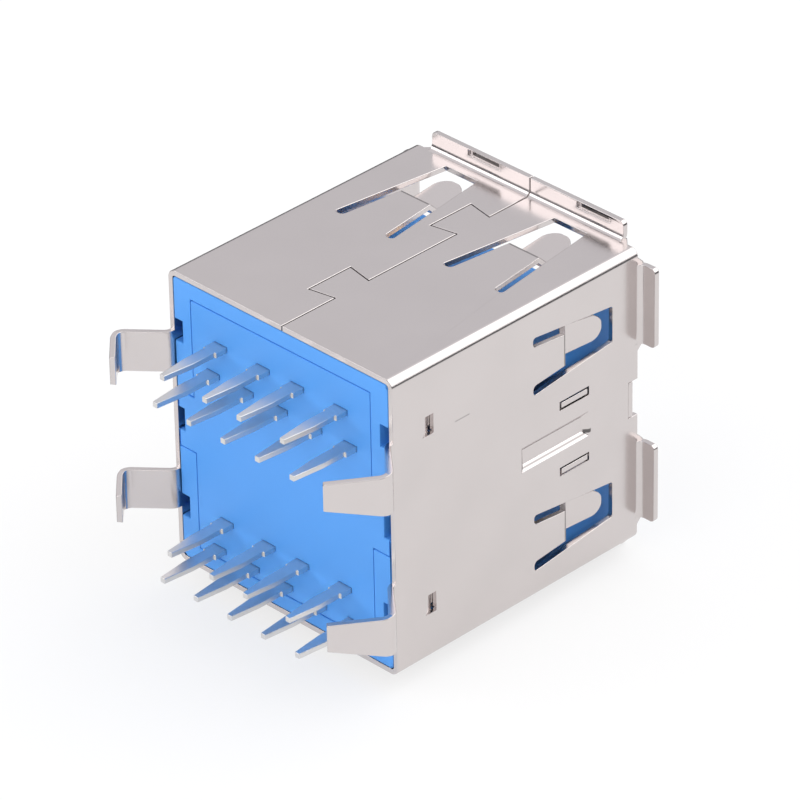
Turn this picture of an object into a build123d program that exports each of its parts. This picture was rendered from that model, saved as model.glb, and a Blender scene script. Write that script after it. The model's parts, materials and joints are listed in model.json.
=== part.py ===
from build123d import *

import os

os.makedirs("parts", exist_ok=True)

# Two stacked sockets, lying on their side: X is the width, Y points out of the openings
# and Z runs across the stack. The board face is the plane Y = 0, with the tails behind it.

# Sizes of one port, from the plug that it takes
port_width = 12.5
port_height = 5.12
port_pitch = 8.58
plug_reach = 11.9
base_depth = 2.4

# Shell sheet and its outside
sheet = 0.25
corner_radius = 0.4
fit = 0.03

# Lips folded square at the mating end, their bends let a little into the walls
lip_rise = 0.84
lip_bend = 0.41
lip_inset = 0.16
top_lip_width = 11.1
side_lip_width = 3.8
side_lip_lift = 0.17
lip_corner = 0.22
lip_gusset = 0.35
lip_pit_length = 1.9
lip_pit_width = 0.28
lip_pit_depth = 0.1
lip_pit_setback = 0.2
lip_pit_shift = 0.7

# Seam of the shell with its two dovetail tabs
seam_gap = 0.05
seam_place = 0.2
tab_reach = 1.3
tab_root = 1.9
tab_flare = 0.25
rear_tab_place = 4.0
front_tab_setback = 3.25

# Spring fingers, cut from the walls and pressed into the ports. A setback is measured
# from the mating edge, and the side walls' features sit a little below the ports' middles.
spring_depth = 0.6
spring_tip_depth = 0.3
spring_tip_round = 0.6
slot_width = 0.42
wide_spring_place = 3.15
wide_window_setback = 0.3
wide_window_length = 6.05
wide_window_root = 3.4
wide_window_end = 1.8
wide_neck_setback = 3.3
wide_tip_setback = 0.85
side_window_setback = 1.52
side_window_length = 4.7
side_window_root = 2.75
side_window_end = 1.7
side_neck_setback = 4.4
side_tip_setback = 1.85
side_drop = 0.12

# Board legs, kinked outwards and back
leg_width = 1.9
leg_spacing = 6.75
leg_start = 0.22
leg_out = 1.72
leg_return_left = 1.2
leg_return_right = 1.92
leg_bend = 0.45
leg_taper = 0.35
leg_corner = 0.28

# Latches pressed in behind the housing's base, slots for the divider, and a stiffening rib
latch_length = 0.65
latch_height = 0.95
latch_setback = 0.1
latch_press = 0.3
latch_clearance = 0.05
tab_slot_length = 1.75
tab_slot_height = 0.42
tab_slot_setback = 3.8
rib_length = 4.0
rib_height = 1.2
rib_depth = 0.2
rib_slope = 50
rib_setback = 4.95
notch_height = 1.75
notch_depth = 0.55

# Divider between the ports
divider_bend = 0.45
divider_seat = 0.6
divider_spring_setback = 0.9
front_recess = 0.3
tab_clearance = 0.1

# Moulded housing
tongue_width = 11.1
tongue_thickness = 1.84
tongue_setback = 0.95
tongue_chamfer = 0.3
relief_width = 0.5
relief_height = 1.05
relief_depth = 1.4

# Tail organiser let into the rear of the housing
organiser_width = 10.4
organiser_height = 12.1
organiser_depth = 1.0
organiser_ear = 12.3
organiser_ear_height = 2.7
organiser_gap = 0.04
middle_relief_width = 0.4
middle_relief_height = 1.1

# Contacts: four sprung and five flat ones in each port
stock = 0.25
tail_length = 3.28
tail_width = 0.58
tail_tip_width = 0.26
tail_taper = 1.5
shoulder_width = 0.76
shoulder_length = 0.6
sprung_pitches = (2.0, 7.0)
flat_pitch = 2.0
flat_count = 5
sprung_row = 0.25
flat_row = -1.27
jog_length = 1.0
beam_width = 0.9
beam_channel = 1.1
beam_floor = 0.9
beam_rest = -0.48
beam_root = 2.1
beam_crest = 0.4
beam_crest_setback = 5.2
beam_tip = -0.3
beam_tip_width = 0.6
beam_end_setback = 3.9
beam_bend = 0.5
channel_setback = 3.5
strip_width = 0.6
pad_width = 0.9
pad_length = 1.25
pad_proud = 0.03
pad_setback = 0.3

# Sizes that follow from those above
shell_width = port_width + 2 * sheet
shell_height = port_pitch + port_height + 2 * sheet
shell_depth = base_depth + plug_reach
plate_place = port_pitch / 2 - port_height / 2
plate_middle = plate_place - sheet / 2
web_front = shell_depth - front_recess
lip_front = shell_depth - lip_inset + lip_bend + sheet / 2
tongue_front = shell_depth - tongue_setback
ports = {"lower": -port_pitch / 2, "upper": port_pitch / 2}
rear_face = Plane(origin=(0, 0, 0), x_dir=(-1, 0, 0), z_dir=(0, 1, 0))


def wall_plane(outward, middle):
    """Plane on a wall's outer face: local Y is the mating direction, Z points out of the port."""
    return Plane(origin=middle, x_dir=Vector(0, 1, 0).cross(Vector(*outward)), z_dir=outward)


def bent_strip(points, radii, thickness, width, plane):
    """A strip of sheet that follows a bent line drawn in the plane's Y and Z."""
    profile = Plane(origin=plane.origin, x_dir=plane.y_dir, z_dir=plane.x_dir)
    with BuildPart() as strip:
        with BuildSketch(profile):
            with BuildLine():
                FilletPolyline(*points, radius=radii)
            trace(line_width=thickness)
        extrude(amount=width / 2, both=True)
    return strip.part


def spring_finger(plane, rear, bend, tip, root_width, neck_width):
    """A finger in the wall, creased into the port at its neck and rising again to a round tip."""
    middle = -sheet / 2
    path = [
        (rear - sheet, middle),
        (bend, middle),
        (bend + spring_depth, middle - spring_depth),
        (tip, middle - spring_tip_depth),
    ]
    blade = bent_strip(path, 0, sheet, root_width, plane)
    end = neck_width / 2 - sheet / 2
    with BuildPart() as finger:
        with BuildSketch(plane):
            with BuildLine():
                Polyline(
                    (-end, tip - spring_tip_round),
                    (-neck_width / 2, bend),
                    (-root_width / 2, rear - sheet),
                    (root_width / 2, rear - sheet),
                    (neck_width / 2, bend),
                    (end, tip - spring_tip_round),
                )
                ThreePointArc((end, tip - spring_tip_round), (0, tip), (-end, tip - spring_tip_round))
            make_face()
        extrude(amount=2 * spring_depth, both=True)
        add(blade, mode=Mode.INTERSECT)
    return finger.part


def spring_window(plane, rear, front, root_width, end_width):
    """The opening round a finger, wider at the finger's root."""
    with BuildPart() as opening:
        with BuildSketch(plane):
            with BuildLine():
                Polyline(
                    (-end_width / 2, front),
                    (-root_width / 2, rear),
                    (root_width / 2, rear),
                    (end_width / 2, front),
                    close=True,
                )
            make_face()
            fillet(vertices(), slot_width / 3)
        extrude(amount=2 * sheet, both=True)
    return opening.part


def spring(plane, setback, length, root_width, end_width, neck_setback, tip_setback):
    """Window and finger in a wall, with a slot of one width on both sides of the finger's root."""
    front = shell_depth - setback
    rear = front - length
    neck = shell_depth - neck_setback
    window_at_neck = root_width + (end_width - root_width) * (neck - rear) / length
    opening = spring_window(plane, rear, front, root_width, end_width)
    finger = spring_finger(
        plane,
        rear,
        neck,
        shell_depth - tip_setback,
        root_width - 2 * slot_width,
        window_at_neck - 2 * slot_width,
    )
    return opening, finger


def mating_lip(plane, width):
    """A lip folded outwards from a wall's front edge, with a gusset on each side of its root."""
    middle = -sheet / 2
    corner = lip_front - sheet / 2
    path = [(shell_depth - 2 * sheet, middle), (corner, middle), (corner, lip_rise)]
    bent = bent_strip(path, lip_bend, sheet, width, plane)
    with BuildPart() as lip:
        add(bent)
        tip = faces().sort_by(Axis(plane.origin, plane.z_dir))[-1]
        fillet(tip.edges().group_by(SortBy.LENGTH)[0], lip_corner)
        for side in (-1, 1):
            with BuildSketch(plane):
                with BuildLine():
                    Polyline(
                        (side * width / 2, shell_depth - lip_inset),
                        (side * width / 2, shell_depth + lip_gusset),
                        (side * (width / 2 + lip_gusset), shell_depth),
                        (side * (width / 2 + lip_gusset), shell_depth - lip_inset),
                        close=True,
                    )
                make_face()
            extrude(amount=-sheet)
    return lip.part


def board_leg(plane, back):
    """A leg that leaves the rear edge of a side wall, kinks out and comes back."""
    middle = -sheet / 2
    path = [
        (2 * sheet, middle),
        (-leg_start, middle),
        (-leg_out, middle + leg_out),
        (-leg_out - back, middle + leg_out - back),
    ]
    bent = bent_strip(path, leg_bend, sheet, leg_width, plane)
    half = leg_width / 2
    end = -leg_out - back - sheet
    with BuildPart() as leg:
        with BuildSketch(plane):
            with BuildLine():
                Polyline(
                    (-half, 2 * sheet),
                    (half, 2 * sheet),
                    (half, -leg_out),
                    (half - leg_taper, end),
                    (leg_taper - half, end),
                    (-half, -leg_out),
                    close=True,
                )
            make_face()
            fillet(vertices().group_by(Axis.Y)[0], leg_corner)
        extrude(amount=2 * leg_out, both=True)
        add(bent, mode=Mode.INTERSECT)
    return leg.part


def lip_pit(plane):
    """A long shallow pit pressed into the rear face of a lip, below its edge."""
    face = Plane(origin=plane.origin, x_dir=plane.x_dir, z_dir=plane.y_dir).offset(lip_front - sheet)
    side = face.to_local_coords(plane.origin + plane.z_dir).Y
    with BuildPart() as pit:
        with BuildSketch(face):
            with Locations((0, side * (lip_rise - lip_pit_setback))):
                Rectangle(lip_pit_length, lip_pit_width)
        extrude(amount=lip_pit_depth, both=True)
    return pit.part


def pressed_rib(plane):
    """The recess of a rib pressed into a wall, and the bulge that it makes inside."""
    forms = []
    for face in (plane, plane.offset(-sheet)):
        with BuildPart() as form:
            with BuildSketch(face):
                with Locations((0, shell_depth - rib_setback)):
                    Rectangle(rib_height, rib_length)
            extrude(amount=-rib_depth, taper=rib_slope)
        forms.append(form.part)
    return forms


def pressed_latch(plane):
    """The recess of a latch pressed in from its rear end, and the bulge that it makes inside."""
    front = base_depth - latch_setback
    forms = []
    for depth in (0, sheet):
        with BuildPart() as form:
            with BuildSketch(Plane(origin=plane.origin, x_dir=plane.y_dir, z_dir=plane.x_dir)):
                with BuildLine():
                    Polyline(
                        (front - latch_length, -depth),
                        (front, -depth - latch_press),
                        (front, -depth),
                        close=True,
                    )
                make_face()
            extrude(amount=latch_height / 2, both=True)
        forms.append(form.part)
    return forms


def seam_cut():
    """The split in the upper wide wall, with two tabs that flare into the left half."""
    outline = [(seam_place, -sheet)]
    for place in (rear_tab_place, shell_depth - front_tab_setback):
        outline += [
            (seam_place, place - tab_root / 2),
            (seam_place - tab_reach, place - tab_root / 2 - tab_flare),
            (seam_place - tab_reach, place + tab_root / 2 + tab_flare),
            (seam_place, place + tab_root / 2),
        ]
    outline.append((seam_place, shell_depth + lip_rise))
    with BuildPart() as cut:
        with BuildSketch(Plane.XY.offset(shell_height / 2 - 2 * sheet)):
            with BuildLine():
                Polyline(*outline)
            trace(line_width=seam_gap)
        extrude(amount=2 * (sheet + lip_rise))
    return cut.part


def wide_wall(side, place=0):
    """Plane on the upper or lower wall, at one place across it."""
    return wall_plane((0, 0, side), (place, 0, side * shell_height / 2))


def side_wall(side, height=0):
    """Plane on the right or left wall, at one height."""
    return wall_plane((side, 0, 0), (side * shell_width / 2, 0, height))


sides = (-1, 1)
heights = ports.values()
wide_spring = (
    wide_window_setback,
    wide_window_length,
    wide_window_root,
    wide_window_end,
    wide_neck_setback,
    wide_tip_setback,
)
side_spring = (
    side_window_setback,
    side_window_length,
    side_window_root,
    side_window_end,
    side_neck_setback,
    side_tip_setback,
)
wide_places = (-wide_spring_place, wide_spring_place)
leg_returns = {-1: leg_return_left, 1: leg_return_right}
leg_places = (-leg_spacing / 2, leg_spacing / 2)

springs = [spring(wide_wall(side, x), *wide_spring) for side in sides for x in wide_places]
springs += [spring(side_wall(side, z - side_drop), *side_spring) for side in sides for z in heights]
lip_places = [(wide_wall(side), top_lip_width) for side in sides]
lip_places += [(side_wall(side, z + side_lip_lift), side_lip_width) for side in sides for z in heights]
pits = [lip_pit(wide_wall(side, x + lip_pit_shift)) for side in sides for x in wide_places]
legs = [board_leg(side_wall(side, z - side_drop), leg_returns[side]) for side in sides for z in leg_places]
pressings = [pressed_rib(side_wall(side)) for side in sides]
pressings += [pressed_latch(side_wall(side, z - side_drop)) for side in sides for z in heights]

# Outer shell: one folded sheet with its springs, lips and legs
with BuildPart() as outer_shell:
    with BuildSketch(rear_face):
        RectangleRounded(shell_width, shell_height, corner_radius)
        RectangleRounded(
            port_width,
            shell_height - 2 * sheet,
            corner_radius - sheet,
            mode=Mode.SUBTRACT,
        )
    extrude(amount=shell_depth)
    add([opening for opening, finger in springs], mode=Mode.SUBTRACT)
    for side in sides:
        with BuildSketch(side_wall(side)):
            with Locations(*[(z * plate_middle, shell_depth - tab_slot_setback) for z in sides]):
                Rectangle(tab_slot_height, tab_slot_length)
            with Locations((0, shell_depth)):
                Rectangle(notch_height, 2 * notch_depth)
        extrude(amount=-2 * sheet, mode=Mode.SUBTRACT)
    add([bulge for recess, bulge in pressings])
    add([recess for recess, bulge in pressings], mode=Mode.SUBTRACT)
    add([finger for opening, finger in springs])
    for plane, width in lip_places:
        with BuildSketch(plane):
            with Locations((0, shell_depth)):
                Rectangle(width, 2 * lip_inset)
        extrude(amount=-2 * sheet, mode=Mode.SUBTRACT)
    add([mating_lip(plane, width) for plane, width in lip_places])
    add(pits, mode=Mode.SUBTRACT)
    add(legs)
    add(seam_cut(), mode=Mode.SUBTRACT)

outer_shell.part.label = "outer_shell"
export_step(outer_shell.part, "parts/outer_shell.step")


# Divider: one sheet folded to a U, its web between the openings and its plates as port walls
divider_rear = base_depth - divider_seat
divider_springs = [
    spring(
        wall_plane((0, 0, -side), (x, -divider_spring_setback, side * (plate_place - sheet))),
        *wide_spring,
    )
    for side in sides
    for x in wide_places
]

with BuildPart() as port_divider:
    with BuildSketch(Plane.YZ):
        with BuildLine():
            FilletPolyline(
                (divider_rear, -plate_middle),
                (web_front - sheet / 2, -plate_middle),
                (web_front - sheet / 2, plate_middle),
                (divider_rear, plate_middle),
                radius=divider_bend,
            )
        trace(line_width=sheet)
    extrude(amount=port_width / 2 - fit, both=True)
    with BuildSketch(rear_face.offset(web_front)):
        Rectangle(shell_width, notch_height - 2 * fit)
    extrude(amount=-sheet)
    for side in sides:
        with BuildSketch(Plane.XY.offset(side * plate_middle)):
            with Locations((0, shell_depth - tab_slot_setback)):
                Rectangle(shell_width, tab_slot_length - 2 * tab_clearance)
        extrude(amount=sheet / 2, both=True)
    add([opening for opening, finger in divider_springs], mode=Mode.SUBTRACT)
    add([finger for opening, finger in divider_springs])

port_divider.part.label = "port_divider"
export_step(port_divider.part, "parts/port_divider.step")


def contact_blade(path, bends, outline, centre):
    """A contact: a strip bent along its path, cut to its outline seen from above the tongue."""
    plane = Plane(origin=centre)
    widest = 2 * max(x for x, y in outline)
    strip = bent_strip(path, bends, stock, widest, plane)
    mirrored = [(-x, y) for x, y in reversed(outline)]
    with BuildPart() as blade:
        with BuildSketch(plane):
            with BuildLine():
                Polyline(*outline, *mirrored, close=True)
            make_face()
        extrude(amount=port_height, both=True)
        add(strip, mode=Mode.INTERSECT)
    return blade.part


tail_outline = [
    (tail_tip_width / 2, -tail_length),
    (tail_width / 2, tail_taper - tail_length),
    (tail_width / 2, -shoulder_length),
    (shoulder_width / 2, -shoulder_length),
]
beam_rise = base_depth + beam_root
beam_end = shell_depth - beam_end_setback
sprung_path = [
    (-tail_length, sprung_row),
    (organiser_depth, sprung_row),
    (organiser_depth + jog_length, beam_rest),
    (beam_rise, beam_rest),
    (shell_depth - beam_crest_setback, beam_crest),
    (beam_end, beam_tip),
]
sprung_outline = tail_outline + [
    (shoulder_width / 2, organiser_depth),
    (beam_width / 2, organiser_depth),
    (beam_width / 2, beam_rise),
    (beam_tip_width / 2, beam_end),
]
pad_front = tongue_front - pad_setback
pad_rear = pad_front - pad_length
pad_middle = pad_proud - stock / 2
strip_rise = pad_rear - (pad_middle - flat_row)
flat_path = [
    (-tail_length, flat_row),
    (strip_rise, flat_row),
    (pad_rear, pad_middle),
    (pad_front, pad_middle),
]
flat_outline = tail_outline + [
    (shoulder_width / 2, organiser_depth),
    (strip_width / 2, organiser_depth),
    (strip_width / 2, strip_rise),
    (pad_width / 2, pad_rear),
    (pad_width / 2, pad_front),
]
sprung_places = sorted(side * pitch / 2 for pitch in sprung_pitches for side in sides)
flat_places = [(i - (flat_count - 1) / 2) * flat_pitch for i in range(flat_count)]

# Contacts: the sprung ones lie in the tongue's channels, the flat ones end as pads at its tip
contacts = []
for port, height in ports.items():
    for kind, places, path, bends, outline in (
        ("sprung", sprung_places, sprung_path, (0, 0, 0, beam_bend), sprung_outline),
        ("flat", flat_places, flat_path, 0, flat_outline),
    ):
        for number, place in enumerate(places, 1):
            contact = contact_blade(path, bends, outline, (place, 0, height))
            contact.label = f"{kind}_contact_{port}_{number}"
            export_step(contact, f"parts/{contact.label}.step")
            contacts.append(contact)

# Reliefs moulded into both edges of the rear face
with BuildPart() as reliefs:
    for side in sides:
        with BuildSketch(rear_face):
            with Locations(*[(side * port_width / 2, z) for z in heights]):
                Rectangle(2 * relief_width, relief_height)
            with Locations((side * port_width / 2, 0)):
                Rectangle(2 * middle_relief_width, middle_relief_height)
        extrude(amount=relief_depth)

# Tail organiser: a plate with two ears, let into the rear of the housing
with BuildPart() as tail_organiser:
    with BuildSketch(rear_face):
        Rectangle(organiser_width, organiser_height)
        Rectangle(organiser_ear, organiser_ear_height)
    extrude(amount=organiser_depth)
    add(reliefs.part, mode=Mode.SUBTRACT)
    add(contacts, mode=Mode.SUBTRACT)

tail_organiser.part.label = "tail_organiser"
export_step(tail_organiser.part, "parts/tail_organiser.step")

# Housing: a base that closes the shell's rear, with one tongue standing out into each port
with BuildPart() as housing:
    with BuildSketch(rear_face):
        RectangleRounded(port_width - 2 * fit, shell_height - 2 * sheet - 2 * fit, corner_radius - sheet)
    extrude(amount=base_depth)
    with BuildSketch(rear_face):
        Rectangle(organiser_width + 2 * organiser_gap, organiser_height + 2 * organiser_gap)
        Rectangle(organiser_ear + 2 * organiser_gap, organiser_ear_height + 2 * organiser_gap)
    extrude(amount=organiser_depth, mode=Mode.SUBTRACT)
    with BuildSketch(rear_face.offset(divider_rear)):
        with Locations((0, -plate_middle), (0, plate_middle)):
            Rectangle(port_width, sheet + 2 * fit)
    extrude(amount=divider_seat, mode=Mode.SUBTRACT)
    for height in heights:
        with BuildSketch(rear_face.offset(base_depth)):
            with Locations((0, height)):
                Rectangle(tongue_width, tongue_thickness, align=(Align.CENTER, Align.MAX))
        extrude(amount=tongue_front - base_depth)
    chamfer(faces().sort_by(Axis.Y)[-2:].edges(), tongue_chamfer)
    for height in heights:
        with BuildSketch(Plane.XY.offset(height)):
            with Locations(*[(x, base_depth) for x in sprung_places]):
                Rectangle(beam_channel, plug_reach - channel_setback, align=(Align.CENTER, Align.MIN))
        extrude(amount=-beam_floor, mode=Mode.SUBTRACT)
    for side in sides:
        for height in heights:
            with BuildSketch(side_wall(side, height - side_drop).offset(-sheet)):
                with Locations((0, base_depth)):
                    Rectangle(
                        latch_height + 2 * latch_clearance,
                        2 * (latch_setback + latch_length + latch_clearance),
                    )
            extrude(amount=-latch_press - latch_clearance, mode=Mode.SUBTRACT)
    add(reliefs.part, mode=Mode.SUBTRACT)
    add(contacts, mode=Mode.SUBTRACT)

housing.part.label = "housing"
export_step(housing.part, "parts/housing.step")
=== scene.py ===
import json
import math

import bmesh
import bpy
from mathutils import Matrix, Vector

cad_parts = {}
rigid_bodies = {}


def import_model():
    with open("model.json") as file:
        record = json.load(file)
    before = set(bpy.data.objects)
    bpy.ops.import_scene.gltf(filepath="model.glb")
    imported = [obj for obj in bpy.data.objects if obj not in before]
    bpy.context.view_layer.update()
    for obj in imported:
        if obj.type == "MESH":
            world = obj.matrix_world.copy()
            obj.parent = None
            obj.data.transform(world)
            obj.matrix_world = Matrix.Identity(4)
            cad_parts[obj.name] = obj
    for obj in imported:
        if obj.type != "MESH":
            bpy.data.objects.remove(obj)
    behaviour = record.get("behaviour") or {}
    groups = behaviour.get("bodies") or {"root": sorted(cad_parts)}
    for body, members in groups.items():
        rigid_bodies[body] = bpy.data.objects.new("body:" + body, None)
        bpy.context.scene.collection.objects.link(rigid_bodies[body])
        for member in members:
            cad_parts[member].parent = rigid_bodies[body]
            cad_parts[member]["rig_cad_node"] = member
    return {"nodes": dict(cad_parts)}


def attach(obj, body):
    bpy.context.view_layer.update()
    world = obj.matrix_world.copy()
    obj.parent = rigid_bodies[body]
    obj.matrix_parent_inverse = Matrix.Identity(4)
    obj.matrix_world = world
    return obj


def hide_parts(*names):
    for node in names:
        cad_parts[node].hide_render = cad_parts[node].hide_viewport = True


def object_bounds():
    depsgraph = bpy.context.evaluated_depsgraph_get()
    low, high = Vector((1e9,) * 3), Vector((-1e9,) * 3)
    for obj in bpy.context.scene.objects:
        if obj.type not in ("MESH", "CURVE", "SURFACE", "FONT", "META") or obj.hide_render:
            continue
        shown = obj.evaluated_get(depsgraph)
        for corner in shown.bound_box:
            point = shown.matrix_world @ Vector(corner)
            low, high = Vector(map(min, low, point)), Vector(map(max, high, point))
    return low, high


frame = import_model()
cad_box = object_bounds()

bl_info = {
    "name": "Stacked Socket Finish",
    "version": (1, 0, 0),
    "blender": (4, 5, 0),
    "location": "View3D > Sidebar > Socket",
    "description": "Finishes a stacked two-port board socket in plated sheet, moulding and contacts",
    "category": "Object",
}

# Pieces are shaped in millimetres and shrunk to metres when they are done
MM = 0.001

# Two points closer than this, in millimetres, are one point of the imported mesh
WELD = 0.0005

# How fine the grain runs along X, Y and Z: rolled sheet, drawn strip and moulded plastic
ROLLED_GRAIN = (14.0, 0.6, 14.0)
DRAWN_GRAIN = (20.0, 0.8, 20.0)
FLOW_GRAIN = (0.25, 0.6, 0.35)


class Output:
    """One output of a shader node, which can stand in Python sums and products."""

    def __init__(self, tree, socket):
        self.tree = tree
        self.socket = socket

    def __add__(self, other):
        return self.tree.math("ADD", self, other)

    def __radd__(self, other):
        return self.tree.math("ADD", other, self)

    def __sub__(self, other):
        return self.tree.math("SUBTRACT", self, other)

    def __rsub__(self, other):
        return self.tree.math("SUBTRACT", other, self)

    def __mul__(self, other):
        return self.tree.math("MULTIPLY", self, other)

    def __rmul__(self, other):
        return self.tree.math("MULTIPLY", other, self)


class ShaderTree:
    """The nodes of one material or of the world."""

    def __init__(self, owner):
        owner.use_nodes = True
        self.tree = owner.node_tree
        self.tree.nodes.clear()

    def node(self, kind, settings=None, values=None, output=0):
        """Adds a node, sets its settings first, then fills or links its inputs."""
        made = self.tree.nodes.new(kind)
        for name, value in (settings or {}).items():
            if name == "stops":
                self.fill_ramp(made.color_ramp, value)
            else:
                setattr(made, name, value)
        for key, value in (values or {}).items():
            if isinstance(value, Output):
                self.tree.links.new(value.socket, made.inputs[key])
            else:
                made.inputs[key].default_value = value
        return Output(self, made.outputs[output]) if made.outputs else None

    def fill_ramp(self, ramp, stops):
        """Gives a colour ramp its stops."""
        while len(ramp.elements) < len(stops):
            ramp.elements.new(1.0)
        for element, (place, colour) in zip(ramp.elements, stops):
            element.position = place
            element.color = colour

    def math(self, operation, *values):
        """One sum or product of numbers."""
        return self.node("ShaderNodeMath", {"operation": operation}, dict(enumerate(values)))

    def mix(self, first, second, share):
        """Two colours mixed by a share of the second."""
        return self.node("ShaderNodeMix", {"data_type": "RGBA"}, {0: share, 6: first, 7: second}, output=2)

    def place(self, stretch=(1, 1, 1)):
        """Place on the piece in millimetres, stretched along its axes for a grain."""
        here = self.node("ShaderNodeTexCoord", output="Object")
        return self.node("ShaderNodeMapping", {}, {"Vector": here, "Scale": [s / MM for s in stretch]})

    def noise(self, where, scale, detail=2.0):
        """Soft noise between 0 and 1, with its scale in features for each millimetre."""
        return self.node("ShaderNodeTexNoise", {}, {"Vector": where, "Scale": scale, "Detail": detail})

    def axis(self, where, name):
        """One coordinate of a place."""
        return self.node("ShaderNodeSeparateXYZ", {}, {"Vector": where}, output=name)

    def ramp(self, value, low, high):
        """0 below low, 1 above high, and a straight rise between."""
        values = {"Value": value, "From Min": low, "From Max": high}
        return self.node("ShaderNodeMapRange", {"clamp": True}, values)

    def mark(self, where, spot, soft=0.04):
        """1 inside a small box given as axis: (middle, half its size), fading over a soft rim."""
        inside = 1.0
        for name, (middle, half) in spot.items():
            away = self.math("ABSOLUTE", self.axis(where, name) - middle)
            inside = inside * self.ramp(away, half + soft, half)
        return inside

    def bump(self, height, distance, strength=1.0):
        """A normal from a height between 0 and 1, with its rise in millimetres."""
        values = {"Height": height, "Distance": distance * MM, "Strength": strength}
        return self.node("ShaderNodeBump", {}, values)


def opaque(colour):
    """A colour with its alpha."""
    return (*colour, 1.0)


def tinted(colour, factor):
    """A colour made lighter or darker by a factor."""
    return (*(min(channel * factor, 1.0) for channel in colour), 1.0)


def surface(tree, values):
    """Ends a material's tree in a Principled surface."""
    shader = tree.node("ShaderNodeBsdfPrincipled", {}, values)
    tree.node("ShaderNodeOutputMaterial", {}, {"Surface": shader})


# Shade painted dark into the sheet's creases, bends, pits and a dimple's rim, each with its box and how
# dark its painted shade is from 0 to 1.
# A box gives, for each axis that bounds it, its middle and half its size in millimetres.
SHEET_PAINTED_SHADE = {
    "right pit in the upper lip's back": ({"X": (3.85, 0.75), "Y": (14.5, 0.06), "Z": (7.74, 0.07)}, 0.9),
    "left pit in the upper lip's back": ({"X": (-2.45, 0.75), "Y": (14.5, 0.06), "Z": (7.74, 0.07)}, 0.9),
    "crease of the right springs": ({"X": (3.15, 0.8), "Y": (11.0, 0.02)}, 0.6),
    "crease of the left springs": ({"X": (-3.15, 0.8), "Y": (11.0, 0.02)}, 0.6),
    "crease of the upper side springs": ({"Y": (9.92, 0.015), "Z": (4.17, 0.72)}, 0.7),
    "crease of the lower side springs": ({"Y": (9.92, 0.015), "Z": (-4.41, 0.72)}, 0.7),
    "lower bend of the rib": ({"X": (6.4, 0.3), "Y": (9.3, 1.9), "Z": (-0.47, 0.012)}, 0.6),
    "front end of the rib": ({"X": (6.4, 0.3), "Y": (11.3, 0.14), "Z": (-0.36, 0.07)}, 0.9),
    "rim of the upper dimple": ({"X": (6.5, 0.1), "Y": (3.93, 0.4), "Z": (3.66, 0.01)}, 0.35),
}


def plated_sheet(settings):
    """Bright nickel on rolled sheet: faint rolling lines, soft clouding, and shade painted dark into its
    creases, bends and pits.
    """
    material = bpy.data.materials.new("plated_sheet")
    tree = ShaderTree(material)
    place = tree.place()
    # Painted shade: how dark the creases, bends and pits are painted, summed over their boxes
    painted_shade = 0.0
    for spot, strength in SHEET_PAINTED_SHADE.values():
        painted_shade = painted_shade + tree.mark(place, spot) * strength
    clouds = tree.noise(place, settings.cloud_scale, detail=4.0)
    rolling = tree.noise(tree.place(ROLLED_GRAIN), scale=1.0, detail=3.0)
    specks = tree.ramp(tree.noise(place, scale=6.0, detail=2.0), low=0.66, high=0.78)
    light = tinted(settings.plating, 1.03)
    dark = tinted(settings.plating, 0.95)
    plated = tree.mix(light, dark, clouds)
    # Near-black nickel, the colour of that painted shade
    shade_colour = tinted(settings.plating, 0.12)
    surface(tree, {
        "Base Color": tree.mix(plated, shade_colour, tree.math("MINIMUM", painted_shade, 1.0)),
        "Metallic": 1.0,
        "Roughness": settings.roughness + 0.05 * clouds + 0.05 * rolling + 0.06 * specks,
        "Normal": tree.bump(rolling * 0.6 + clouds * 0.4, distance=0.0012),
    })
    return material


def shaded_sheared_edge(settings):
    """The edge left where a slot is cut through plated strip: rough, with the strip's bare brass in
    places, and painted dark grey for shade.
    """
    material = bpy.data.materials.new("shaded_sheared_edge")
    tree = ShaderTree(material)
    place = tree.place()
    brassy = tree.ramp(tree.noise(place, scale=1.3, detail=3.0), low=0.52, high=0.68)
    surface(tree, {
        # Dark grey painted as shade over the cut faces, mixed in places with the bare brass of the strip
        "Base Color": tree.mix(opaque(settings.shaded_cut), opaque(settings.brass), brassy),
        "Metallic": 1.0,
        "Roughness": settings.cut_roughness + 0.1 * tree.noise(place, scale=9.0, detail=2.0),
    })
    return material


def contact_strip(settings):
    """Contact strip: tinned tails behind the board face, gold flash on the mating ends."""
    material = bpy.data.materials.new("contact_strip")
    tree = ShaderTree(material)
    place = tree.place()
    drawn = tree.noise(tree.place(DRAWN_GRAIN), scale=1.0, detail=3.0)
    clouds = tree.noise(place, scale=1.4, detail=3.0)
    fade = settings.gold_fade
    along = tree.axis(place, "Y") + fade * clouds
    mating = tree.ramp(along, settings.gold_from, settings.gold_from + fade)
    tin = tree.mix(tinted(settings.tin, 1.04), tinted(settings.tin, 0.9), clouds)
    gold = tree.mix(tinted(settings.gold, 1.04), tinted(settings.gold, 0.92), clouds)
    surface(tree, {
        "Base Color": tree.mix(tin, gold, mating),
        "Metallic": 1.0,
        "Roughness": settings.roughness + 0.05 * drawn + 0.05 * clouds,
        "Normal": tree.bump(drawn, distance=0.0004),
    })
    return material


def moulding(name, settings, shade):
    """Satin moulded plastic with the fine texture of its tool and a little flow clouding."""
    material = bpy.data.materials.new(name)
    tree = ShaderTree(material)
    place = tree.place()
    flow = tree.noise(tree.place(FLOW_GRAIN), scale=1.0, detail=3.0)
    grain = tree.noise(place, settings.grain_scale, detail=3.0)
    light = tinted(settings.plastic, shade * 1.04)
    dark = tinted(settings.plastic, shade * 0.95)
    surface(tree, {
        "Base Color": tree.mix(light, dark, flow),
        "Roughness": settings.roughness + 0.08 * grain + 0.05 * flow,
        "Normal": tree.bump(grain, settings.grain_depth),
    })
    return material


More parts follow.
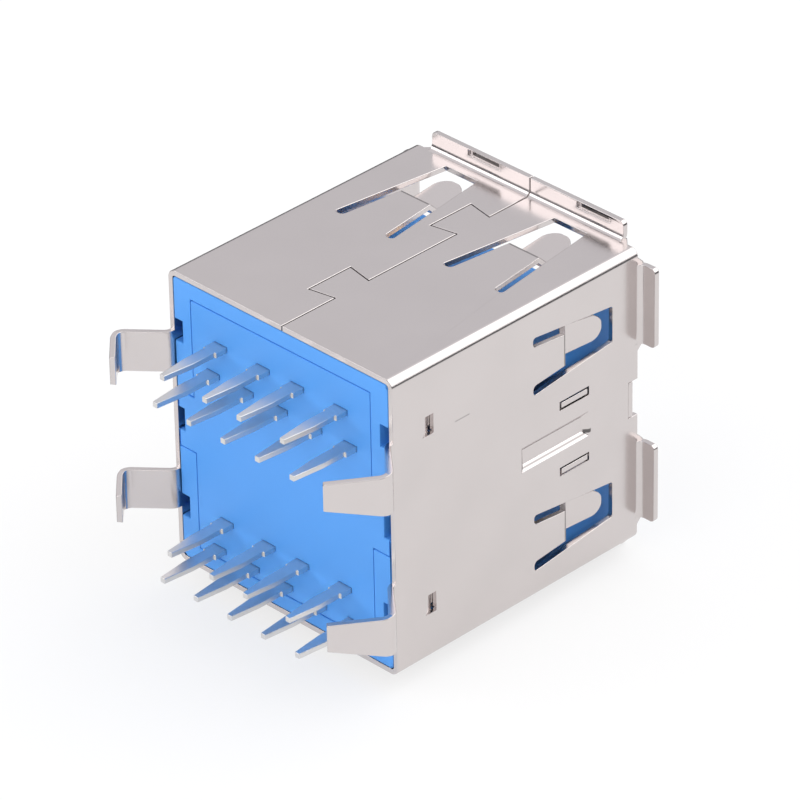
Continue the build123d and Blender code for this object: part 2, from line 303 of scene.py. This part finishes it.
def select_only(piece):
    """Leaves one piece selected and active."""
    bpy.ops.object.select_all(action="DESELECT")
    piece.select_set(True)
    bpy.context.view_layer.objects.active = piece


def resize(piece, factor):
    """Scales a piece about the origin and applies the scale to its mesh."""
    select_only(piece)
    piece.scale = (factor, factor, factor)
    bpy.ops.object.transform_apply(location=False, rotation=False, scale=True)


def whole_copy(node, name, whole_faces=True):
    """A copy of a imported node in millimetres, welded and, if asked, merged into whole faces."""
    select_only(frame["nodes"][node])
    bpy.ops.object.duplicate()
    piece = bpy.context.active_object
    piece.name = name
    piece.data.name = name
    del piece["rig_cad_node"]
    piece.data.materials.clear()
    bpy.ops.object.parent_clear(type="CLEAR_KEEP_TRANSFORM")
    bpy.ops.mesh.customdata_custom_splitnormals_clear()
    resize(piece, 1 / MM)
    bpy.ops.object.mode_set(mode="EDIT")
    bpy.ops.mesh.select_all(action="SELECT")
    bpy.ops.mesh.remove_doubles(threshold=WELD)
    if whole_faces:
        bpy.ops.mesh.dissolve_limited(angle_limit=math.radians(1))
    bpy.ops.object.mode_set(mode="OBJECT")
    return piece


def apply_modifier(piece, kind, **settings):
    """Adds a modifier with its settings and applies it."""
    select_only(piece)
    bpy.ops.object.modifier_add(type=kind)
    modifier = piece.modifiers[-1]
    for name, value in settings.items():
        setattr(modifier, name, value)
    bpy.ops.object.modifier_apply(modifier=modifier.name)


def round_edges(piece, width, segments=2, sharper_than=35):
    """Rounds the edges that turn by more than an angle, and keeps the result inside the form."""
    select_only(piece)
    bpy.ops.object.shade_smooth()
    bpy.ops.object.duplicate()
    form = bpy.context.active_object
    apply_modifier(
        piece,
        "BEVEL",
        limit_method="ANGLE",
        angle_limit=math.radians(sharper_than),
        width=width,
        segments=segments,
        use_clamp_overlap=False,
    )
    apply_modifier(piece, "SHRINKWRAP", wrap_mode="INSIDE", target=form)
    apply_modifier(piece, "WEIGHTED_NORMAL", weight=100)
    select_only(form)
    bpy.ops.object.delete()


def round_slot_ends(piece, settings):
    """Rounds the square corners at the rear ends of the spring fingers' slots."""
    inner_x = settings.half_width - settings.sheet
    inner_z = settings.half_height - settings.sheet
    # An edge that runs through the sheet is nearly as long as the sheet is thick
    shortest = 0.9 * settings.sheet
    longest = 1.1 * settings.sheet
    least_turn = math.radians(60)
    select_only(piece)
    bpy.ops.object.mode_set(mode="EDIT")
    bpy.ops.mesh.select_all(action="DESELECT")
    mesh = bmesh.from_edit_mesh(piece.data)
    for edge in mesh.edges:
        start, end = (point.co for point in edge.verts)
        middle = (start + end) / 2
        run = start - end
        through_narrow_wall = abs(middle.x) > inner_x and abs(run.x) > shortest
        through_wide_wall = abs(middle.z) > inner_z and abs(run.z) > shortest
        through = run.length < longest and (through_narrow_wall or through_wide_wall)
        at_slots = settings.slots_from < middle.y < settings.slots_to
        off_seam = abs(middle.x) >= settings.seam_reach
        if through and at_slots and off_seam and edge.calc_face_angle(0.0) > least_turn:
            edge.select_set(True)
    bmesh.update_edit_mesh(piece.data)
    bpy.ops.mesh.bevel(offset=settings.slot_rounding, segments=5, affect="EDGES")
    bpy.ops.object.mode_set(mode="OBJECT")


def mark_sheared_faces(piece, settings):
    """Gives the second material to the faces that are cut through the walls."""
    # The most that a cut's normal leaves its wall, and the least that a spring's side faces sideways
    in_wall = 0.35
    sideways = 0.8
    for face in piece.data.polygons:
        middle = face.center
        normal = face.normal
        off_narrow_walls = abs(middle.x) < settings.half_width - 2 * settings.sheet
        off_wide_walls = abs(middle.z) < settings.half_height - 2 * settings.sheet
        near_wide_wall = abs(middle.z) > settings.half_height - settings.spring_reach
        in_wide_wall = off_narrow_walls and not off_wide_walls and abs(normal.z) < in_wall
        in_narrow_wall = off_wide_walls and not off_narrow_walls and abs(normal.x) < in_wall
        on_spring = off_narrow_walls and near_wide_wall and abs(normal.x) > sideways
        between_ends = settings.latches_to < middle.y < settings.walls_to
        if between_ends and (in_wide_wall or in_narrow_wall or on_spring):
            face.material_index = 1


def fill_latch_slits(shell, settings):
    """Closes the slit in front of each latch but for its lower corner."""
    depth, width, height = settings.slit
    parts = [shell]
    for side in (-1, 1):
        for middle in settings.slit_heights:
            place = (side * settings.slit_place[0], settings.slit_place[1], middle)
            bpy.ops.object.select_all(action="DESELECT")
            bpy.ops.mesh.primitive_cube_add(size=1, location=place)
            bpy.ops.transform.resize(value=(depth, width, height))
            bpy.ops.object.transform_apply(location=True, rotation=False, scale=True)
            parts.append(bpy.context.active_object)
    bpy.ops.object.select_all(action="DESELECT")
    for part in parts:
        part.select_set(True)
    bpy.context.view_layer.objects.active = shell
    bpy.ops.object.join()


def lengthen_tongues(piece, settings):
    """Moves the tongues' ends a little nearer to the mating face."""
    for point in piece.data.vertices:
        if point.co.y > settings.tongue_from:
            point.co.y += settings.tongue_longer


def finished(piece, node, slot, *materials):
    """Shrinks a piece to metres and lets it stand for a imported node."""
    resize(piece, MM)
    for material in materials:
        piece.data.materials.append(material)
    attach(piece, "root")
    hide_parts(node)


class SheetSettings(bpy.types.PropertyGroup):
    """Finish of the folded sheet."""

    plating: bpy.props.FloatVectorProperty(
        name="Plating",
        description="Colour of the nickel",
        subtype="COLOR",
        default=(0.66, 0.615, 0.605),
        min=0.0,
        max=1.0,
    )
    roughness: bpy.props.FloatProperty(
        name="Roughness",
        description="Least roughness of the plated sheet",
        subtype="FACTOR",
        default=0.16,
        min=0.0,
        max=1.0,
    )
    cloud_scale: bpy.props.FloatProperty(
        name="Clouding",
        description="Clouds in the plating for each millimetre",
        default=0.35,
    )
    edge: bpy.props.FloatProperty(
        name="Edge",
        description="Rounding of the sheared edges in millimetres",
        default=0.03,
    )
    # The cut edges' dark grey is painted shade
    shaded_cut: bpy.props.FloatVectorProperty(
        name="Sheared edge",
        description="Colour of the cut edges",
        subtype="COLOR",
        default=(0.3, 0.27, 0.265),
        min=0.0,
        max=1.0,
    )
    brass: bpy.props.FloatVectorProperty(
        name="Brass",
        description="Colour of the strip where it shows at a cut",
        subtype="COLOR",
        default=(0.6, 0.42, 0.25),
        min=0.0,
        max=1.0,
    )
    cut_roughness: bpy.props.FloatProperty(
        name="Cut roughness",
        description="Least roughness of the cut edges",
        subtype="FACTOR",
        default=0.36,
        min=0.0,
        max=1.0,
    )
    sheet: bpy.props.FloatProperty(
        name="Sheet",
        description="Thickness of the sheet in millimetres",
        default=0.25,
    )
    half_width: bpy.props.FloatProperty(
        name="Half width",
        description="Half the width between the narrow walls' faces in millimetres",
        default=6.5,
    )
    half_height: bpy.props.FloatProperty(
        name="Half height",
        description="Half the height between the wide walls' faces in millimetres",
        default=7.1,
    )
    slit: bpy.props.FloatVectorProperty(
        name="Slit",
        description="Depth, width and height of the fill in front of a latch in millimetres",
        default=(0.08, 0.12, 0.68),
    )
    slit_place: bpy.props.FloatVectorProperty(
        name="Slit place",
        description="Place of that fill on the right wall in millimetres",
        size=2,
        default=(6.2, 2.29),
    )
    slit_heights: bpy.props.FloatVectorProperty(
        name="Slit heights",
        description="Heights of that fill in millimetres",
        size=2,
        default=(4.3, -4.28),
    )
    spring_reach: bpy.props.FloatProperty(
        name="Spring reach",
        description="How far the springs' edges reach in from a wall's face in millimetres",
        default=1.2,
    )
    latches_to: bpy.props.FloatProperty(
        name="Latches' end",
        description="Where the latches' windows end, in millimetres in front of the board face",
        default=2.5,
    )
    walls_to: bpy.props.FloatProperty(
        name="Walls' end",
        description="Where the walls end and the lips begin, in millimetres in front of the board face",
        default=14.0,
    )
    seam_reach: bpy.props.FloatProperty(
        name="Seam reach",
        description="How far the dovetailed seam reaches from the middle in millimetres",
        default=1.6,
    )
    slots_from: bpy.props.FloatProperty(
        name="Slots from",
        description="Where the slots' ends begin, in millimetres in front of the board face",
        default=7.0,
    )
    slots_to: bpy.props.FloatProperty(
        name="Slots to",
        description="Where the slots' ends stop, in millimetres in front of the board face",
        default=9.0,
    )
    slot_rounding: bpy.props.FloatProperty(
        name="Slot rounding",
        description="Radius at the slots' ends in millimetres",
        default=0.18,
    )


class ContactSettings(bpy.types.PropertyGroup):
    """Finish of the contacts."""

    tin: bpy.props.FloatVectorProperty(
        name="Tin",
        description="Colour of the tails",
        subtype="COLOR",
        default=(0.74, 0.73, 0.72),
        min=0.0,
        max=1.0,
    )
    gold: bpy.props.FloatVectorProperty(
        name="Gold",
        description="Colour of the mating ends",
        subtype="COLOR",
        default=(0.95, 0.62, 0.27),
        min=0.0,
        max=1.0,
    )
    roughness: bpy.props.FloatProperty(
        name="Roughness",
        description="Least roughness of the strip",
        subtype="FACTOR",
        default=0.27,
        min=0.0,
        max=1.0,
    )
    gold_from: bpy.props.FloatProperty(
        name="Gold from",
        description="Where the gold begins, in millimetres in front of the board face",
        default=3.0,
    )
    gold_fade: bpy.props.FloatProperty(
        name="Gold fade",
        description="How far the gold's edge fades and wanders in millimetres",
        default=0.5,
    )
    edge: bpy.props.FloatProperty(
        name="Edge",
        description="Rounding of the strip's edges in millimetres",
        default=0.03,
    )


class MouldingSettings(bpy.types.PropertyGroup):
    """Finish of the moulded pieces."""

    plastic: bpy.props.FloatVectorProperty(
        name="Plastic",
        description="Colour of the moulding",
        subtype="COLOR",
        default=(0.095, 0.39, 0.97),
        min=0.0,
        max=1.0,
    )
    roughness: bpy.props.FloatProperty(
        name="Roughness",
        description="Least roughness of the moulding",
        subtype="FACTOR",
        default=0.4,
        min=0.0,
        max=1.0,
    )
    grain_scale: bpy.props.FloatProperty(
        name="Grain",
        description="Grains for each millimetre",
        default=14.0,
    )
    grain_depth: bpy.props.FloatProperty(
        name="Grain depth",
        description="Depth of the grain in millimetres",
        default=0.003,
    )
    edge: bpy.props.FloatProperty(
        name="Edge",
        description="Rounding of the moulded edges in millimetres",
        default=0.05,
    )
    tongue_from: bpy.props.FloatProperty(
        name="Tongue from",
        description="Where the tongues' ends begin, in millimetres in front of the board face",
        default=13.0,
    )
    tongue_longer: bpy.props.FloatProperty(
        name="Tongue longer",
        description="How much further the tongues reach in millimetres",
        default=0.6,
    )


class StageSettings(bpy.types.PropertyGroup):
    """Floor, light and camera."""

    camera_place: bpy.props.FloatVectorProperty(
        name="Camera place",
        description="Where the camera stands",
        subtype="TRANSLATION",
        unit="LENGTH",
        precision=6,
        default=(0.156726, -0.146876, 0.137362),
    )
    camera_aim: bpy.props.FloatVectorProperty(
        name="Camera aim",
        description="The point in the middle of the picture",
        subtype="TRANSLATION",
        unit="LENGTH",
        precision=6,
        default=(0.002857, 0.004, 0.002911),
    )
    camera_roll: bpy.props.FloatProperty(
        name="Camera roll",
        description="Turn of the camera about its line of sight",
        subtype="ANGLE",
        default=math.radians(-1.137),
    )
    lens: bpy.props.FloatProperty(
        name="Lens",
        description="Focal length in millimetres on a 36 mm sensor",
        default=280.22,
    )
    sky: bpy.props.FloatProperty(
        name="Sky",
        description="Strength of the even light all round",
        default=1.0,
    )
    window_towards: bpy.props.FloatVectorProperty(
        name="Window",
        description="Direction of the bright window that the bends reflect",
        subtype="DIRECTION",
        default=(0.42, 0.6, 0.69),
    )
    window_edge: bpy.props.FloatProperty(
        name="Window edge",
        description="Cosine of the window's half angle at its soft outer edge",
        default=0.72,
    )
    window_sill: bpy.props.FloatProperty(
        name="Window sill",
        description="Sine of the height at which the bright window begins",
        default=0.24,
    )
    table_reach: bpy.props.FloatProperty(
        name="Table",
        description="How far from the object a reflection shows the floor white",
        unit="LENGTH",
        default=0.05,
    )
    table_edge: bpy.props.FloatProperty(
        name="Table edge",
        description="Where a reflection shows the floor dark",
        unit="LENGTH",
        default=0.07,
    )
    floor_reach: bpy.props.FloatProperty(
        name="Floor",
        description="Half the floor's side",
        unit="LENGTH",
        default=1.5,
    )


class SOCKET_OT_sheet_metal(bpy.types.Operator):
    """Finish the outer shell and the divider in plated sheet"""

    bl_idname = "socket.sheet_metal"
    bl_label = "Sheet metal"

    def execute(self, context):
        settings = context.scene.socket_sheet
        plated = plated_sheet(settings)
        # The cut edges' material, painted dark for shade
        shaded_cut = shaded_sheared_edge(settings)
        shell = whole_copy("outer_shell", "shell_sheet")
        round_slot_ends(shell, settings)
        mark_sheared_faces(shell, settings)
        round_edges(shell, settings.edge)
        fill_latch_slits(shell, settings)
        finished(shell, "outer_shell", "shell_metal", plated, shaded_cut)
        divider = whole_copy("port_divider", "divider_sheet")
        round_edges(divider, settings.edge)
        finished(divider, "port_divider", "shell_metal", plated)
        return {"FINISHED"}


class SOCKET_OT_contacts(bpy.types.Operator):
    """Finish the sprung and flat contacts of both ports"""

    bl_idname = "socket.contacts"
    bl_label = "Contacts"

    def execute(self, context):
        settings = context.scene.socket_contacts
        material = contact_strip(settings)
        nodes = sorted(node for node in frame["nodes"] if "_contact_" in node)
        for node in nodes:
            piece = whole_copy(node, node.replace("contact", "blade"))
            round_edges(piece, settings.edge)
            finished(piece, node, "contact_metal", material)
        return {"FINISHED"}


class SOCKET_OT_mouldings(bpy.types.Operator):
    """Finish the housing and the tail organiser in satin plastic"""

    bl_idname = "socket.mouldings"
    bl_label = "Mouldings"

    def execute(self, context):
        settings = context.scene.socket_mouldings
        for node, name, shade in (
            ("housing", "housing_moulding", 1.0),
            ("tail_organiser", "organiser_moulding", 0.97),
        ):
            piece = whole_copy(node, name, whole_faces=False)
            if node == "housing":
                lengthen_tongues(piece, settings)
            round_edges(piece, settings.edge)
            finished(piece, node, "blue_plastic", moulding(name, settings, shade))
        return {"FINISHED"}


class SOCKET_OT_stage(bpy.types.Operator):
    """Set up the floor, the light and the camera"""

    bl_idname = "socket.stage"
    bl_label = "Stage"

    def execute(self, context):
        settings = context.scene.socket_stage
        add_floor(settings)
        add_sky(settings)
        add_lamps()
        add_camera(settings)
        context.scene.view_settings.view_transform = "Standard"
        return {"FINISHED"}


def seen_directly(tree):
    """1 for rays that show the background: from the camera, a gloss or through glass."""
    rays = [
        tree.node("ShaderNodeLightPath", output=name)
        for name in ("Is Camera Ray", "Is Glossy Ray", "Is Transmission Ray")
    ]
    return tree.math("MINIMUM", rays[0] + rays[1] + rays[2], 1.0)


def add_floor(settings):
    """A plain white floor that keeps a light shadow, and looks dark far off in a reflection."""
    bpy.ops.object.select_all(action="DESELECT")
    bpy.ops.mesh.primitive_plane_add(size=2 * settings.floor_reach, location=(0, 0, cad_box[0][2]))
    floor = bpy.context.active_object
    floor.name = "floor"
    material = bpy.data.materials.new("white_floor")
    tree = ShaderTree(material)
    paper = tree.node("ShaderNodeBsdfDiffuse", {}, {"Color": opaque((0.86, 0.86, 0.86))})
    white = opaque((1.0, 1.0, 1.0))
    dim = opaque((0.04, 0.04, 0.045))
    # Shares of plain glow over lit paper: far off in a reflection, less on the table, more to the camera
    far_glow = 0.9
    table_loss = 0.35
    camera_gain = 0.15
    camera = tree.node("ShaderNodeLightPath", output="Is Camera Ray")
    reach = tree.node("ShaderNodeVectorMath", {"operation": "LENGTH"}, {0: tree.place()}, output="Value")
    near = tree.ramp(reach, settings.table_edge / MM, settings.table_reach / MM)
    table = tree.math("MAXIMUM", near, camera)
    share = seen_directly(tree) * (far_glow - table_loss * table) + camera * camera_gain
    glow = tree.node("ShaderNodeEmission", {}, {"Color": tree.mix(dim, white, table), "Strength": 1.0})
    shown = tree.node("ShaderNodeMixShader", {}, {0: share, 1: paper, 2: glow})
    tree.node("ShaderNodeOutputMaterial", {}, {"Surface": shown})
    floor.data.materials.append(material)


def add_sky(settings):
    """A pale sky with a dark horizon and one bright window, and white behind the object."""
    world = bpy.data.worlds.new("studio")
    bpy.context.scene.world = world
    tree = ShaderTree(world)
    here = tree.node("ShaderNodeTexCoord", output="Generated")
    height = tree.axis(here, "Z")
    # From straight down at 0 to straight up at 1, with the horizon at 0.5
    stops = [
        (0.0, opaque((0.8, 0.8, 0.82))),
        (0.497, opaque((0.7, 0.7, 0.72))),
        (0.505, opaque((0.05, 0.05, 0.055))),
        (0.58, opaque((0.1, 0.1, 0.11))),
        (0.65, opaque((0.68, 0.68, 0.71))),
        (1.0, opaque((1.0, 0.99, 1.02))),
    ]
    tent = tree.node("ShaderNodeValToRGB", {"stops": stops}, {0: tree.ramp(height, -1.0, 1.0)})
    values = {0: here, 1: Vector(settings.window_towards).normalized()}
    nearness = tree.node("ShaderNodeVectorMath", {"operation": "DOT_PRODUCT"}, values, output="Value")
    sill_fade = 0.06
    edge_fade = 0.1
    above_sill = tree.ramp(height, settings.window_sill, settings.window_sill + sill_fade)
    window = tree.ramp(nearness, settings.window_edge, settings.window_edge + edge_fade) * above_sill
    window_light = opaque((2.1, 2.1, 2.1))
    lit = tree.mix(tent, window_light, window)
    camera = tree.node("ShaderNodeLightPath", output="Is Camera Ray")
    colour = tree.mix(lit, opaque((1.0, 1.0, 1.0)), camera)
    background = tree.node("ShaderNodeBackground", {}, {"Color": colour, "Strength": settings.sky})
    tree.node("ShaderNodeOutputWorld", {}, {"Surface": background})


def add_lamps():
    """Soft boxes: one high at the camera's left for the backs of the lips, one facing the board face."""
    for name, direction, distance, size, power in (
        ("lip_light", (-0.6, -0.6, 0.53), 0.4, 0.22, 0.21),
        ("front_light", (0.25, -0.85, 0.4), 0.4, 0.3, 0.32),
    ):
        away = Vector(direction).normalized()
        lamp = bpy.data.lights.new(name, "AREA")
        lamp.shape = "DISK"
        lamp.size = size
        lamp.energy = power
        holder = bpy.data.objects.new(name, lamp)
        bpy.context.scene.collection.objects.link(holder)
        holder.location = away * distance
        holder.rotation_euler = away.to_track_quat("Z", "Y").to_euler()


def add_camera(settings):
    """The camera at the photograph's angle."""
    camera = bpy.data.objects.new("camera", bpy.data.cameras.new("camera"))
    bpy.context.scene.collection.objects.link(camera)
    camera.data.sensor_width = 36
    camera.data.lens = settings.lens
    camera.data.clip_start = 0.01
    place = Vector(settings.camera_place)
    sight = Vector(settings.camera_aim) - place
    turn = sight.to_track_quat("-Z", "Y").to_matrix().to_4x4()
    camera.matrix_world = Matrix.Translation(place) @ turn @ Matrix.Rotation(settings.camera_roll, 4, "Z")
    bpy.context.scene.camera = camera


class SOCKET_PT_finish(bpy.types.Panel):
    """Lists the steps that finish the socket"""

    bl_label = "Socket"
    bl_space_type = "VIEW_3D"
    bl_region_type = "UI"
    bl_category = "Socket"

    def draw(self, context):
        for step in STEPS:
            self.layout.operator(step.bl_idname)


SETTINGS = {
    "socket_sheet": SheetSettings,
    "socket_contacts": ContactSettings,
    "socket_mouldings": MouldingSettings,
    "socket_stage": StageSettings,
}
STEPS = (
    SOCKET_OT_stage,
    SOCKET_OT_sheet_metal,
    SOCKET_OT_contacts,
    SOCKET_OT_mouldings,
)


def register():
    """Adds the settings, the steps and the panel."""
    for name, group in SETTINGS.items():
        bpy.utils.register_class(group)
        setattr(bpy.types.Scene, name, bpy.props.PointerProperty(type=group))
    for step in STEPS:
        bpy.utils.register_class(step)
    bpy.utils.register_class(SOCKET_PT_finish)


def unregister():
    """Takes away what register added."""
    bpy.utils.unregister_class(SOCKET_PT_finish)
    for step in reversed(STEPS):
        bpy.utils.unregister_class(step)
    for name, group in SETTINGS.items():
        delattr(bpy.types.Scene, name)
        bpy.utils.unregister_class(group)


def main():
    """Runs every step."""
    register()
    bpy.ops.socket.stage()
    bpy.ops.socket.sheet_metal()
    bpy.ops.socket.contacts()
    bpy.ops.socket.mouldings()


if __name__ == "__main__":
    main()
